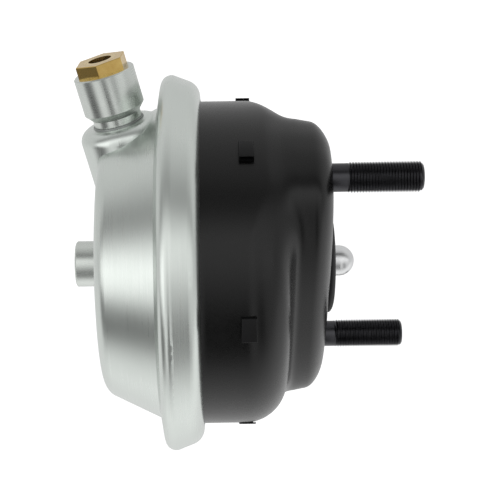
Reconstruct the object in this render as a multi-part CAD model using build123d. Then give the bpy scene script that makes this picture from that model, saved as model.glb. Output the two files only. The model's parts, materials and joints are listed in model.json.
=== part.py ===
from build123d import *
import os
from math import cos, radians, sin, sqrt, tan

os.makedirs("parts", exist_ok=True)

# Air brake chamber for a disc brake, in millimetres. The origin is the centre of the mounting
# face on the push rod's axis. +X is the way the rod pushes, +Z points to the air port's side.

# Clearances, and how far a cutter passes the face that it cuts
SEAT_GAP = 0.1
RUNNING_GAP = 0.3
FIT_GAP = 0.05
CUTTER_MARGIN = 1.0

# Studs: their pitch sets the housing's size
STUD_SPACING = 120.65
STUD_LINE_ANGLE = 22.5
STUD_RADIUS = 8.0
STUD_PROJECTION = 47.5
STUD_KNURL_HEIGHT = 0.35
STUD_CHAMFER = 1.3
STUD_HEAD_RADIUS = 11.5
STUD_HEAD_HEIGHT = 5.0
STUD_TO_HOUSING_SIDE = 27.475
STUD_PLATE_THICKNESS = 5.5
STUD_PLATE_EDGE_GAP = 0.5
STUD_PLATE_BORE_RADIUS = 23.0

# Housing: a drawn cup with a raised plateau along the line of the studs
HOUSING_WALL = 3.8
HOUSING_RADIUS = STUD_SPACING / 2 + STUD_TO_HOUSING_SIDE
HOUSING_SHOULDER_RADIUS = 22.0
PLATEAU_HEIGHT = 22.0
PLATEAU_HALF_WIDTH = 27.4
PLATEAU_MIDDLE_HALF_WIDTH = 36.0
PLATEAU_DRAFT = 6.0
PLATEAU_EDGE_RADIUS = 9.5
PLATEAU_FOOT_RADIUS = 7.0
PLATEAU_BACK_GAP = 4.0
FLARE_TIP_ROOM = 7.4
FLARE_ANGLE = 52.0
FLARE_BEND_RADIUS = 2.0
FLARE_RUN = 5.6
FACE_OPENING_RADIUS = 20.0

# Pressed cover: a slightly crowned face, a conical flank and a sharp crease where the rim starts
COVER_WALL = 3.0
COVER_DEPTH = 34.6
COVER_CROWN_RADIUS = 520.0
COVER_CORNER_RADIUS = 10.0
COVER_FLANK_ANGLE = 26.0
CREASE_X = -90.0
CREASE_STEP = 3.0
CREASE_RADIUS = HOUSING_RADIUS - CREASE_STEP
COVER_APEX_X = CREASE_X - COVER_DEPTH

# Rim of the cover, rolled over the housing's flange
RIM_LEAN = 9.4
RIM_HEIGHT = 16.4
RIM_PEAK_RADIUS = HOUSING_RADIUS + RIM_HEIGHT
RIM_SLOPE = 21.0
RIM_WIDTH = 22.8
RIM_CORNER_RADIUS = 5.5
RIM_LIP_RADIUS = 9.0
RIM_LIP_GAP = 0.9

# Air port: a round bulge of the cover, a turned boss welded on it and a brass union
PORT_SETBACK = 19.9
PORT_BASE_DROP = 4.3
PORT_LEAN = 14.0
BULGE_RADIUS = 22.0
BULGE_EDGE_RADIUS = 6.5
BULGE_DEPTH = 44.0
PORT_HOLE_RADIUS = 7.0
BOSS_RADIUS = 16.0
BOSS_NECK_RADIUS = 12.75
BOSS_NECK_HEIGHT = 4.3
BOSS_CONE_HEIGHT = 3.7
BOSS_HEIGHT = 27.8
BOSS_EDGE_CHAMFER = 0.6
THREAD_RADIUS = 10.0
THREAD_DEPTH = 17.0
HEX_ACROSS_FLATS = 24.0
HEX_HEIGHT = 6.5
HEX_TURN = 13.0
HEX_SIDES = 6
HEX_CHAMFER = 0.9
HEX_CHAMFER_ANGLE = 30.0
SPIGOT_LENGTH = 14.0
TUBE_BORE_RADIUS = 6.1
COLLET_RADIUS = 8.6
COLLET_HEIGHT = 4.2
TUBE_SEAL_RADIUS = 8.6
TUBE_SEAL_HEIGHT = 3.0
TUBE_STOP_RADIUS = 4.5
TUBE_DEPTH = 13.0
O_RING_SECTION = 0.95
O_RING_GROOVE_DEPTH = 2.1

# Centre stub
STUB_RADIUS = 12.55
STUB_LENGTH = 11.8
STUB_SPIGOT_RADIUS = 6.0
STUB_CHAMFER = 0.8

# Diaphragm
DIAPHRAGM_WALL = 3.2
AIR_ROOM = 5.1
DIAPHRAGM_EDGE_GAP = 3.5
DIAPHRAGM_BEND_RADIUS = 8.0
BEAD_TIP_ROOM = 7.9
BEAD_INNER_DROP = 3.4
BEAD_FOOT_DROP = 1.0

# Push plate and push rod
PLATE_EDGE_GAP = 7.0
PLATE_WALL = 3.0
PLATE_LIP_HEIGHT = 6.0
PLATE_BEND_RADIUS = 5.0
FOOT_RADIUS = 11.0
CUP_WALL = 2.5
CUP_MOUTH_ANGLE = 58.0
ROD_RADIUS = 8.4
ROD_TIP_X = 16.0

# Return spring and its seat
SPRING_WIRE_RADIUS = 2.5
SPRING_LIP_GAP = 6.0
SPRING_TAPER = 17.0
SPRING_TURNS = 4.5
SEAT_CORNER_GAP = 3.8
SEAT_WIDTH = 19.0
SEAT_THICKNESS = 2.5
SEAT_LIP_HEIGHT = 4.0

# Seal ring in the mounting face, bellows and their steel ring
SEAL_RADIUS = 28.4
SEAL_HEIGHT = 4.0
SEAL_BEVEL = 3.6
SEAL_FOOT_HEIGHT = 2.2
SEAL_BORE_RADIUS = 16.0
SEAL_LIP_THICKNESS = 2.0
BELLOWS_WALL = 1.4
BELLOWS_SKIN = 2.2
BELLOWS_PLEATS = 9
BELLOWS_PLEAT_DEPTH = 5.0
BELLOWS_FRONT_RADIUS = 23.5
BELLOWS_REAR_RADIUS = 22.0
BELLOWS_FLANGE_THICKNESS = 2.0
BELLOWS_COLLAR_WIDTH = 6.0
BELLOWS_COLLAR_GAP = 1.5
RETAINER_THICKNESS = 1.8
RETAINER_BORE_RADIUS = 18.5
CLAMP_WIRE_RADIUS = 0.9

# Vent caps
VENT_COUNT = 6
VENT_FIRST_ANGLE = 30.0
VENT_X = -44.0
VENT_WIDTH = 7.0
VENT_LENGTH = 11.0
VENT_HEIGHT = 3.4
VENT_BACK_HEIGHT = 1.4
VENT_EDGE_RADIUS = 0.8
VENT_MOUTH_DEPTH = 5.5
VENT_MOUTH_WALL = 0.8
VENT_STEM_RADIUS = 3.0
VENT_BARB = 0.5
VENT_BARB_HEIGHT = 1.6
VENT_BARB_GAP = 0.5

# Places that follow from the sizes above
RIM_END_X = CREASE_X + RIM_WIDTH
RIM_LIP_INNER_RADIUS = HOUSING_RADIUS + RIM_LIP_GAP
LIP_INNER_X = RIM_END_X - COVER_WALL
FLARE_BEND_X = LIP_INNER_X - SEAT_GAP + RIM_LIP_GAP / tan(radians(FLARE_ANGLE))
BARREL_BACK_X = FLARE_BEND_X + FLARE_RUN
PLATEAU_BACK_X = BARREL_BACK_X + PLATEAU_BACK_GAP
HOUSING_END_X = -PLATEAU_HEIGHT
INNER_END_X = HOUSING_END_X - HOUSING_WALL
INNER_FACE_X = -HOUSING_WALL
FLANK_SLOPE = tan(radians(COVER_FLANK_ANGLE))
STUB_END_X = COVER_APEX_X - STUB_LENGTH
DIAPHRAGM_BACK_X = COVER_APEX_X + COVER_WALL + AIR_ROOM
FLANK_WALL = COVER_WALL / cos(radians(COVER_FLANK_ANGLE))
FLANK_INNER_RADIUS = CREASE_RADIUS - (CREASE_X - DIAPHRAGM_BACK_X) * FLANK_SLOPE - FLANK_WALL
DIAPHRAGM_FLAT_RADIUS = FLANK_INNER_RADIUS - DIAPHRAGM_EDGE_GAP
PLATE_RADIUS = DIAPHRAGM_FLAT_RADIUS - PLATE_EDGE_GAP
SEAT_OUTER_RADIUS = HOUSING_RADIUS - HOUSING_SHOULDER_RADIUS - SEAT_CORNER_GAP
SEAT_INNER_RADIUS = SEAT_OUTER_RADIUS - SEAT_WIDTH
SPRING_BASE_RADIUS = SEAT_INNER_RADIUS + SEAT_THICKNESS + SPRING_WIRE_RADIUS + SPRING_LIP_GAP
SPRING_PLATE_RADIUS = SPRING_BASE_RADIUS - SPRING_TAPER
PLATE_BACK_X = DIAPHRAGM_BACK_X + DIAPHRAGM_WALL + RUNNING_GAP
PLATE_FRONT_X = PLATE_BACK_X + PLATE_WALL
CUP_RADIUS = FOOT_RADIUS + RUNNING_GAP + CUP_WALL
FOOT_X = PLATE_FRONT_X + CUP_RADIUS
STUD_PLATE_BACK_X = INNER_FACE_X - STUD_PLATE_THICKNESS
PORT_AXIS = Vector(-sin(radians(PORT_LEAN)), 0, cos(radians(PORT_LEAN)))
PORT_BASE = Vector(CREASE_X - PORT_SETBACK, 0, CREASE_RADIUS - PORT_BASE_DROP)
HEX_CORNER_RADIUS = HEX_ACROSS_FLATS / 2 / cos(radians(180 / HEX_SIDES))


def revolved(face):
    """Turn a profile of X and radius about the rod's axis."""
    return revolve(Plane.XZ * face, Axis.X)


def ring(x_from, x_to, inner_radius, outer_radius):
    """Plain ring or disc about the rod's axis."""
    outline = Polyline(
        (x_from, inner_radius), (x_to, inner_radius), (x_to, outer_radius), (x_from, outer_radius), close=True
    )
    return revolved(make_face(outline))


def rounded_profile(points, radii):
    """Closed profile with some of its corners rounded."""
    face = make_face(Polyline(*points, close=True))
    for corner, radius in radii:
        vertex = face.vertices().sort_by_distance(Vector(corner[0], corner[1], 0))[0]
        face = fillet(vertex, radius)
    return face


def along_port(distance):
    """Plane across the port's axis, at a distance from the boss's foot."""
    return Plane(origin=PORT_BASE + PORT_AXIS * distance, x_dir=(0, -1, 0), z_dir=PORT_AXIS)


def at_angle(solid, angle):
    """Turn a solid made at the top of the housing to its place round the axis."""
    return Rot(X=angle) * solid


def flank_meets_crown(inset):
    """Corner of the cover's flank and its crowned face, on a surface inset from the outside."""
    angle = radians(COVER_FLANK_ANGLE)
    radius = COVER_CROWN_RADIUS - inset
    start_x = CREASE_X + inset * sin(angle) - (COVER_APEX_X + COVER_CROWN_RADIUS)
    start_r = CREASE_RADIUS - inset * cos(angle)
    along = -start_x * cos(angle) - start_r * sin(angle)
    reach = -along + sqrt(along**2 + radius**2 - start_x**2 - start_r**2)
    centre_x = COVER_APEX_X + COVER_CROWN_RADIUS
    return (centre_x + start_x - reach * cos(angle), start_r - reach * sin(angle))


def crown_x(inset, radius):
    """X of the crowned face at a radius."""
    crown = COVER_CROWN_RADIUS - inset
    return COVER_APEX_X + COVER_CROWN_RADIUS - sqrt(crown**2 - radius**2)


def rim_corners():
    """Sharp corners of the rim's outer line, from the crease to the lip's edge."""
    lean = tan(radians(RIM_LEAN))
    slope = tan(radians(RIM_SLOPE))
    peak_x = CREASE_X + (RIM_PEAK_RADIUS - CREASE_RADIUS) * lean
    lip_r = RIM_PEAK_RADIUS - (RIM_END_X - peak_x) * slope
    return [(CREASE_X, CREASE_RADIUS), (peak_x, RIM_PEAK_RADIUS), (RIM_END_X, lip_r),
            (RIM_END_X, RIM_LIP_INNER_RADIUS)]


def cover_shell():
    """Crowned face, flank and rolled rim as one wall of even thickness."""
    corner = flank_meets_crown(0)
    half_way = corner[1] / 2
    rim = rim_corners()
    with BuildSketch() as wall:
        with BuildLine() as line:
            ThreePointArc((COVER_APEX_X, 0), (crown_x(0, half_way), half_way), corner)
            Polyline(corner, *rim)
            bends = ((corner, COVER_CORNER_RADIUS), (rim[1], RIM_CORNER_RADIUS), (rim[2], RIM_LIP_RADIUS))
            for place, radius in bends:
                vertex = line.vertices().sort_by_distance(Vector(place[0], place[1], 0))[0]
                fillet(vertex, radius)
            offset(amount=COVER_WALL, side=Side.RIGHT)
        make_face()
    return revolved(wall.face())


def dome_room():
    """The space inside the cover, with its flank carried on past the rim."""
    corner = flank_meets_crown(COVER_WALL)
    half_way = corner[1] / 2
    open_x = RIM_END_X
    open_r = corner[1] + (open_x - corner[0]) * tan(radians(COVER_FLANK_ANGLE))
    crown = ThreePointArc(
        (crown_x(COVER_WALL, 0), 0), (crown_x(COVER_WALL, half_way), half_way), corner
    )
    sides = Polyline(corner, (open_x, open_r), (open_x, 0), (crown_x(COVER_WALL, 0), 0))
    face = make_face([crown, sides])
    vertex = face.vertices().sort_by_distance(Vector(corner[0], corner[1], 0))[0]
    return revolved(fillet(vertex, COVER_CORNER_RADIUS - COVER_WALL))


def bulge(inset):
    """Round bulge about the port's axis, or the hollow inside it."""
    body = Cylinder(BULGE_RADIUS - inset, BULGE_DEPTH, align=(Align.CENTER, Align.CENTER, Align.MAX))
    top_edge = body.edges().filter_by(GeomType.CIRCLE).sort_by(Axis.Z)[-1]
    return along_port(-inset) * fillet(top_edge, BULGE_EDGE_RADIUS - inset)


def pressure_cover():
    """Zinc-plated pressing that holds the air, with its rim rolled over the housing's flange."""
    beside_rim = ring(2 * COVER_APEX_X, CREASE_X, 0, 2 * CREASE_RADIUS)
    cover = cover_shell() + ((bulge(0) - dome_room()) & beside_rim) - bulge(COVER_WALL)
    port_hole = along_port(-2 * COVER_WALL) * Cylinder(
        PORT_HOLE_RADIUS, 3 * COVER_WALL, align=(Align.CENTER, Align.CENTER, Align.MIN)
    )
    through_face = (COVER_APEX_X - COVER_WALL, COVER_APEX_X + 2 * COVER_WALL)
    stub_hole = ring(*through_face, 0, STUB_SPIGOT_RADIUS + FIT_GAP)
    return cover - port_hole - stub_hole


def centre_stub():
    """Turned stub welded in the middle of the cover."""
    inner_x = COVER_APEX_X + COVER_WALL
    points = [(STUB_END_X, 0), (STUB_END_X, STUB_RADIUS), (COVER_APEX_X, STUB_RADIUS),
              (COVER_APEX_X, STUB_SPIGOT_RADIUS), (inner_x, STUB_SPIGOT_RADIUS), (inner_x, 0)]
    face = make_face(Polyline(*points, close=True))
    vertex = face.vertices().sort_by_distance(Vector(STUB_END_X, STUB_RADIUS, 0))[0]
    return revolved(chamfer(vertex, STUB_CHAMFER))


def turned_on_port(points):
    """Turn a profile of radius and height about the port's axis."""
    return along_port(0) * revolve(Plane.XZ * make_face(Polyline(*points, close=True)), Axis.Z)


def port_boss():
    """Turned boss with a neck, a cone and the threaded bore for the union."""
    cone_top = BOSS_NECK_HEIGHT + BOSS_CONE_HEIGHT
    thread_floor = BOSS_HEIGHT - THREAD_DEPTH
    groove = THREAD_RADIUS + FIT_GAP + 2 * O_RING_SECTION + 2 * SEAT_GAP
    return turned_on_port([
        (PORT_HOLE_RADIUS, 0), (BOSS_NECK_RADIUS, 0), (BOSS_NECK_RADIUS, BOSS_NECK_HEIGHT),
        (BOSS_RADIUS, cone_top), (BOSS_RADIUS, BOSS_HEIGHT - BOSS_EDGE_CHAMFER),
        (BOSS_RADIUS - BOSS_EDGE_CHAMFER, BOSS_HEIGHT), (groove, BOSS_HEIGHT),
        (groove, BOSS_HEIGHT - O_RING_GROOVE_DEPTH),
        (THREAD_RADIUS + FIT_GAP, BOSS_HEIGHT - O_RING_GROOVE_DEPTH),
        (THREAD_RADIUS + FIT_GAP, thread_floor), (PORT_HOLE_RADIUS, thread_floor),
    ])


def union_body():
    """Brass union: a hex with a chamfered top, a spigot in the boss and the bore for the tube."""
    top = BOSS_HEIGHT + HEX_HEIGHT
    past_corner = HEX_CORNER_RADIUS + CUTTER_MARGIN
    hexagon = Rot(Z=HEX_TURN) * RegularPolygon(HEX_CORNER_RADIUS, HEX_SIDES)
    prism = along_port(BOSS_HEIGHT) * extrude(hexagon, HEX_HEIGHT)
    cone_width = HEX_CORNER_RADIUS - HEX_ACROSS_FLATS / 2 + HEX_CHAMFER
    cone_foot = top - cone_width * tan(radians(HEX_CHAMFER_ANGLE))
    prism = prism & turned_on_port([
        (0, BOSS_HEIGHT), (past_corner, BOSS_HEIGHT), (past_corner, cone_foot),
        (HEX_CORNER_RADIUS, cone_foot), (HEX_ACROSS_FLATS / 2 - HEX_CHAMFER, top), (0, top),
    ])
    spigot = turned_on_port([
        (0, BOSS_HEIGHT - SPIGOT_LENGTH), (THREAD_RADIUS, BOSS_HEIGHT - SPIGOT_LENGTH),
        (THREAD_RADIUS, BOSS_HEIGHT), (0, BOSS_HEIGHT),
    ])
    seal_floor = top - COLLET_HEIGHT - TUBE_SEAL_HEIGHT - SEAT_GAP
    bore = turned_on_port([
        (0, BOSS_HEIGHT - SPIGOT_LENGTH), (TUBE_STOP_RADIUS, BOSS_HEIGHT - SPIGOT_LENGTH),
        (TUBE_STOP_RADIUS, top - TUBE_DEPTH), (TUBE_BORE_RADIUS, top - TUBE_DEPTH),
        (TUBE_BORE_RADIUS, seal_floor), (COLLET_RADIUS + FIT_GAP, seal_floor),
        (COLLET_RADIUS + FIT_GAP, top), (0, top),
    ])
    return prism + spigot - bore


def union_collet():
    """Ring in the hex's top that grips the tube."""
    top = BOSS_HEIGHT + HEX_HEIGHT
    floor = top - COLLET_HEIGHT + SEAT_GAP
    return turned_on_port([
        (TUBE_BORE_RADIUS, floor), (COLLET_RADIUS, floor), (COLLET_RADIUS, top),
        (TUBE_BORE_RADIUS, top),
    ])


def union_tube_seal():
    """Rubber ring that seals on the tube, under the collet."""
    top = BOSS_HEIGHT + HEX_HEIGHT - COLLET_HEIGHT
    floor = top - TUBE_SEAL_HEIGHT
    return turned_on_port([
        (TUBE_BORE_RADIUS, floor), (TUBE_SEAL_RADIUS, floor), (TUBE_SEAL_RADIUS, top),
        (TUBE_BORE_RADIUS, top),
    ])


def union_o_ring():
    """O-ring in the boss's recess, under the hex."""
    centre_radius = THREAD_RADIUS + FIT_GAP + SEAT_GAP + O_RING_SECTION
    height = BOSS_HEIGHT - O_RING_SECTION - SEAT_GAP
    return along_port(height) * Torus(centre_radius, O_RING_SECTION)


def barrel(inset, back_x):
    """Round body of the housing, closed by its end wall, without the plateau."""
    radius = HOUSING_RADIUS - inset
    end_x = HOUSING_END_X - inset
    points = [(back_x, 0), (back_x, radius), (end_x, radius), (end_x, 0)]
    return revolved(rounded_profile(points, [(points[2], HOUSING_SHOULDER_RADIUS - inset)]))


def stud_places():
    """Distances of the studs from the rod's axis, along the stud line."""
    return (STUD_SPACING / 2, -STUD_SPACING / 2)


def oval(end_radius, middle_radius):
    """Outline round both studs and the opening between them."""
    circles = [Circle(middle_radius).edge()]
    circles += [(Pos(place, 0) * Circle(end_radius)).edge() for place in stud_places()]
    return make_hull(circles)


def plateau(inset):
    """Raised land along the stud line, drafted like a pressing, before it meets the body."""
    outlines = []
    for x in (PLATEAU_BACK_X, -inset):
        growth = -x * tan(radians(PLATEAU_DRAFT)) - inset
        plane = Plane(origin=(x, 0, 0), x_dir=(0, 0, 1), z_dir=(1, 0, 0))
        outlines.append(plane * oval(PLATEAU_HALF_WIDTH + growth, PLATEAU_MIDDLE_HALF_WIDTH + growth))
    land = loft(outlines, ruled=True)
    top_face = land.faces().sort_by(Axis.X)[-1]
    land = fillet(top_face.edges(), PLATEAU_EDGE_RADIUS - inset)
    return at_angle(land, STUD_LINE_ANGLE)


def housing_form(inset, back_x):
    """Outside of the housing, or the room inside its wall when inset."""
    body = barrel(inset, back_x)
    land = plateau(inset)
    form = body + land
    foot = [edge for edge in new_edges(body, land, combined=form)
            if edge.bounding_box().max.X > PLATEAU_BACK_X + SEAT_GAP]
    form = fillet(foot, PLATEAU_FOOT_RADIUS + inset)
    return form & ring(back_x, 0, 0, HOUSING_RADIUS - inset)


def flared_rim():
    """Flared end of the housing's wall, which the cover's lip holds."""
    angle = radians(FLARE_ANGLE)
    height = RIM_HEIGHT - FLARE_TIP_ROOM
    tip = (FLARE_BEND_X - height / tan(angle), HOUSING_RADIUS + height)
    with BuildSketch() as wall:
        with BuildLine() as line:
            Polyline((BARREL_BACK_X, HOUSING_RADIUS), (FLARE_BEND_X, HOUSING_RADIUS), tip)
            vertex = line.vertices().sort_by_distance(Vector(FLARE_BEND_X, HOUSING_RADIUS, 0))[0]
            fillet(vertex, FLARE_BEND_RADIUS)
            offset(amount=HOUSING_WALL, side=Side.LEFT)
        make_face()
    return revolved(wall.face())


def stud_holes(x_from, x_to):
    """Round cutters where the studs pass through."""
    holes = []
    for place in stud_places():
        cutter = ring(x_from, x_to, 0, STUD_RADIUS + STUD_KNURL_HEIGHT + FIT_GAP)
        holes.append(at_angle(Pos(0, 0, place) * cutter, STUD_LINE_ANGLE))
    return holes


def vent_angles():
    """Even pitch of the vents round the housing, from the top towards the front."""
    pitch = 360 / VENT_COUNT
    return [VENT_FIRST_ANGLE + number * pitch for number in range(VENT_COUNT)]


def flange_housing():
    """Black-painted pressing with the flared rim, the plateau, the stud holes and the vents."""
    shell = housing_form(0, BARREL_BACK_X) - housing_form(HOUSING_WALL, BARREL_BACK_X - CUTTER_MARGIN)
    shell = shell + flared_rim()
    face_cut = (INNER_FACE_X - CUTTER_MARGIN, CUTTER_MARGIN)
    shell = shell - ring(*face_cut, 0, FACE_OPENING_RADIUS)
    for hole in stud_holes(*face_cut):
        shell = shell - hole
    bore_length = 2 * (HOUSING_WALL + CUTTER_MARGIN)
    bore = Pos(VENT_X, 0, HOUSING_RADIUS) * Cylinder(VENT_STEM_RADIUS + SEAT_GAP, bore_length)
    for angle in vent_angles():
        shell = shell - at_angle(bore, angle)
    return shell


def stud_plate():
    """Steel plate inside the plateau that carries the studs."""
    narrowing = PLATEAU_EDGE_RADIUS + STUD_PLATE_EDGE_GAP
    outline = oval(PLATEAU_HALF_WIDTH - narrowing, PLATEAU_MIDDLE_HALF_WIDTH - narrowing)
    base = Plane(origin=(STUD_PLATE_BACK_X, 0, 0), x_dir=(0, 0, 1), z_dir=(1, 0, 0))
    plate = at_angle(extrude(base * outline, STUD_PLATE_THICKNESS), STUD_LINE_ANGLE)
    cut = (STUD_PLATE_BACK_X - CUTTER_MARGIN, INNER_FACE_X + CUTTER_MARGIN)
    plate = plate & ring(*cut, STUD_PLATE_BORE_RADIUS, HOUSING_RADIUS - HOUSING_WALL - SEAT_GAP)
    for hole in stud_holes(*cut):
        plate = plate - hole
    return plate


def mounting_stud(place):
    """Pressed-in stud: round head, shank as wide as its knurl, and the thread from the face on."""
    head_x = STUD_PLATE_BACK_X - STUD_HEAD_HEIGHT
    shank = STUD_RADIUS + STUD_KNURL_HEIGHT
    points = [
        (head_x, 0), (head_x, STUD_HEAD_RADIUS), (STUD_PLATE_BACK_X, STUD_HEAD_RADIUS),
        (STUD_PLATE_BACK_X, shank), (0, shank), (0, STUD_RADIUS),
        (STUD_PROJECTION - STUD_CHAMFER, STUD_RADIUS),
        (STUD_PROJECTION, STUD_RADIUS - STUD_CHAMFER), (STUD_PROJECTION, 0),
    ]
    stud = revolved(make_face(Polyline(*points, close=True)))
    return at_angle(Pos(0, 0, place) * stud, STUD_LINE_ANGLE)


def seal_ring():
    """Rubber ring with a bevelled nose, held round the edge of the opening in the face."""
    waist = FACE_OPENING_RADIUS - SEAT_GAP
    lip_x = INNER_FACE_X - SEAT_GAP - SEAL_LIP_THICKNESS
    lip_radius = STUD_PLATE_BORE_RADIUS - SEAT_GAP
    face_x = SEAT_GAP
    nose_x = SEAL_HEIGHT
    return revolved(make_face(Polyline(
        (lip_x, SEAL_BORE_RADIUS), (nose_x, SEAL_BORE_RADIUS), (nose_x, SEAL_RADIUS - SEAL_BEVEL),
        (SEAL_FOOT_HEIGHT, SEAL_RADIUS), (face_x, SEAL_RADIUS), (face_x, waist),
        (INNER_FACE_X - SEAT_GAP, waist), (INNER_FACE_X - SEAT_GAP, lip_radius), (lip_x, lip_radius),
        close=True,
    )))


def bellows_flange_x():
    """Front and rear of the bellows' flange, behind the seal ring's inner lip."""
    front = INNER_FACE_X - 2 * SEAT_GAP - SEAL_LIP_THICKNESS
    return front, front - BELLOWS_FLANGE_THICKNESS


def bellows_retainer():
    """Steel ring pressed into the stud plate, which holds the bellows' flange."""
    front = bellows_flange_x()[1] - SEAT_GAP
    return ring(front - RETAINER_THICKNESS, front, RETAINER_BORE_RADIUS, STUD_PLATE_BORE_RADIUS - FIT_GAP)


def bellows():
    """Pleated rubber boot from the mounting face back to the cup on the push plate."""
    flange_front, flange_rear = bellows_flange_x()
    collar_rear = PLATE_FRONT_X + BELLOWS_COLLAR_GAP
    collar_front = collar_rear + BELLOWS_COLLAR_WIDTH
    pleats_from = flange_rear - RETAINER_THICKNESS - BELLOWS_WALL
    length = pleats_from - collar_front
    steps = 2 * BELLOWS_PLEATS
    outer = []
    inner = []
    for step in range(steps + 1):
        share = step / steps
        x = pleats_from - length * share
        crest = BELLOWS_FRONT_RADIUS + (BELLOWS_REAR_RADIUS - BELLOWS_FRONT_RADIUS) * share
        radius = crest - BELLOWS_PLEAT_DEPTH * (1 - step % 2)
        outer.append((x, radius))
        inner.append((x, radius - BELLOWS_SKIN))
    throat = RETAINER_BORE_RADIUS - SEAT_GAP
    flange_radius = STUD_PLATE_BORE_RADIUS - SEAT_GAP
    shaft = CUP_RADIUS + RUNNING_GAP
    outline = [(flange_front, inner[0][1]), (flange_front, flange_radius), (flange_rear, flange_radius),
               (flange_rear, throat)]
    outline += outer
    outline += [(collar_front, shaft + BELLOWS_WALL), (collar_rear, shaft + BELLOWS_WALL),
                (collar_rear, shaft), (collar_front, shaft)]
    outline += list(reversed(inner))
    return revolved(make_face(Polyline(*outline, close=True)))


def bellows_clamp():
    """Wire ring that clamps the bellows' collar to the cup."""
    centre_radius = CUP_RADIUS + RUNNING_GAP + BELLOWS_WALL + CLAMP_WIRE_RADIUS + RUNNING_GAP
    centre_x = PLATE_FRONT_X + BELLOWS_COLLAR_GAP + BELLOWS_COLLAR_WIDTH / 2
    return Pos(centre_x, 0, 0) * (Rot(Y=90) * Torus(centre_radius, CLAMP_WIRE_RADIUS))


def spring_seat():
    """Steel ring with an inner lip that centres the spring on the housing's end wall."""
    back = INNER_END_X
    face = back - SEAT_THICKNESS
    inner_lip = SEAT_INNER_RADIUS + SEAT_THICKNESS
    return revolved(make_face(Polyline(
        (back, SEAT_INNER_RADIUS), (back, SEAT_OUTER_RADIUS), (face, SEAT_OUTER_RADIUS),
        (face, inner_lip), (face - SEAT_LIP_HEIGHT, inner_lip),
        (face - SEAT_LIP_HEIGHT, SEAT_INNER_RADIUS), close=True,
    )))


def return_spring():
    """Conical return spring, wide on its seat and narrow on the push plate."""
    start_x = INNER_END_X - SEAT_THICKNESS - SPRING_WIRE_RADIUS - SEAT_GAP
    end_x = PLATE_FRONT_X + SPRING_WIRE_RADIUS + SEAT_GAP
    length = start_x - end_x
    cone = Vector(length, SPRING_BASE_RADIUS - SPRING_PLATE_RADIUS).get_angle(Vector(1, 0))
    path = Helix(
        pitch=length / SPRING_TURNS, height=length, radius=SPRING_BASE_RADIUS,
        center=(start_x, 0, 0), direction=(-1, 0, 0), cone_angle=-cone,
    )
    section = Plane(origin=path @ 0, z_dir=path % 0) * Circle(SPRING_WIRE_RADIUS)
    return sweep(section, path=path, is_frenet=True)


def diaphragm():
    """Rubber diaphragm, its bead held between the cover's rim and the housing's flare."""
    rear_x = DIAPHRAGM_BACK_X
    front_x = rear_x + DIAPHRAGM_WALL
    lean = tan(radians(RIM_LEAN))
    flare = tan(radians(FLARE_ANGLE))
    wall_x = CREASE_X + COVER_WALL / cos(radians(RIM_LEAN)) + SEAT_GAP
    flare_x = FLARE_BEND_X - HOUSING_WALL / sin(radians(FLARE_ANGLE)) - SEAT_GAP
    root = CREASE_RADIUS - BEAD_INNER_DROP
    crest = RIM_PEAK_RADIUS - BEAD_TIP_ROOM

    def against_rim(radius):
        return wall_x + (radius - CREASE_RADIUS) * lean

    def against_flare(radius):
        return flare_x - (radius - HOUSING_RADIUS) / flare

    neck = against_flare(root) - DIAPHRAGM_WALL
    points = [
        (rear_x, 0), (rear_x, DIAPHRAGM_FLAT_RADIUS), (against_rim(CREASE_RADIUS), root),
        (against_rim(CREASE_RADIUS), CREASE_RADIUS), (against_rim(crest), crest),
        (against_flare(crest), crest), (against_flare(root), root), (neck, root - BEAD_FOOT_DROP),
        (front_x, DIAPHRAGM_FLAT_RADIUS - DIAPHRAGM_WALL / 2), (front_x, 0),
    ]
    face = rounded_profile(points, [
        (points[1], DIAPHRAGM_BEND_RADIUS), (points[8], DIAPHRAGM_BEND_RADIUS - DIAPHRAGM_WALL),
    ])
    return revolved(face)


def push_plate():
    """Pressed plate behind the diaphragm, with a rim and the cup that holds the rod's foot."""
    dish = [
        (PLATE_BACK_X, 0), (PLATE_BACK_X, PLATE_RADIUS), (PLATE_BACK_X + PLATE_LIP_HEIGHT, PLATE_RADIUS),
        (PLATE_BACK_X + PLATE_LIP_HEIGHT, PLATE_RADIUS - PLATE_WALL),
        (PLATE_FRONT_X, PLATE_RADIUS - PLATE_WALL), (PLATE_FRONT_X, 0),
    ]
    plate = revolved(rounded_profile(dish, [
        (dish[1], PLATE_BEND_RADIUS), (dish[4], PLATE_BEND_RADIUS - PLATE_WALL),
    ]))
    room = FOOT_RADIUS + RUNNING_GAP
    mouth_x = FOOT_X + room * cos(radians(CUP_MOUTH_ANGLE))
    cup = Pos(FOOT_X, 0, 0) * Sphere(CUP_RADIUS)
    stem = ring(PLATE_FRONT_X, FOOT_X, 0, CUP_RADIUS)
    cup = (cup + stem) & ring(PLATE_FRONT_X, mouth_x, 0, 2 * CUP_RADIUS)
    return plate + cup - Pos(FOOT_X, 0, 0) * Sphere(room)


def push_rod():
    """Bright rod with a ball foot in the plate's cup and a round nose for the brake lever."""
    nose_x = ROD_TIP_X - ROD_RADIUS
    shank = ring(FOOT_X, nose_x, 0, ROD_RADIUS)
    return shank + Pos(nose_x, 0, 0) * Sphere(ROD_RADIUS) + Pos(FOOT_X, 0, 0) * Sphere(FOOT_RADIUS)


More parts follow.
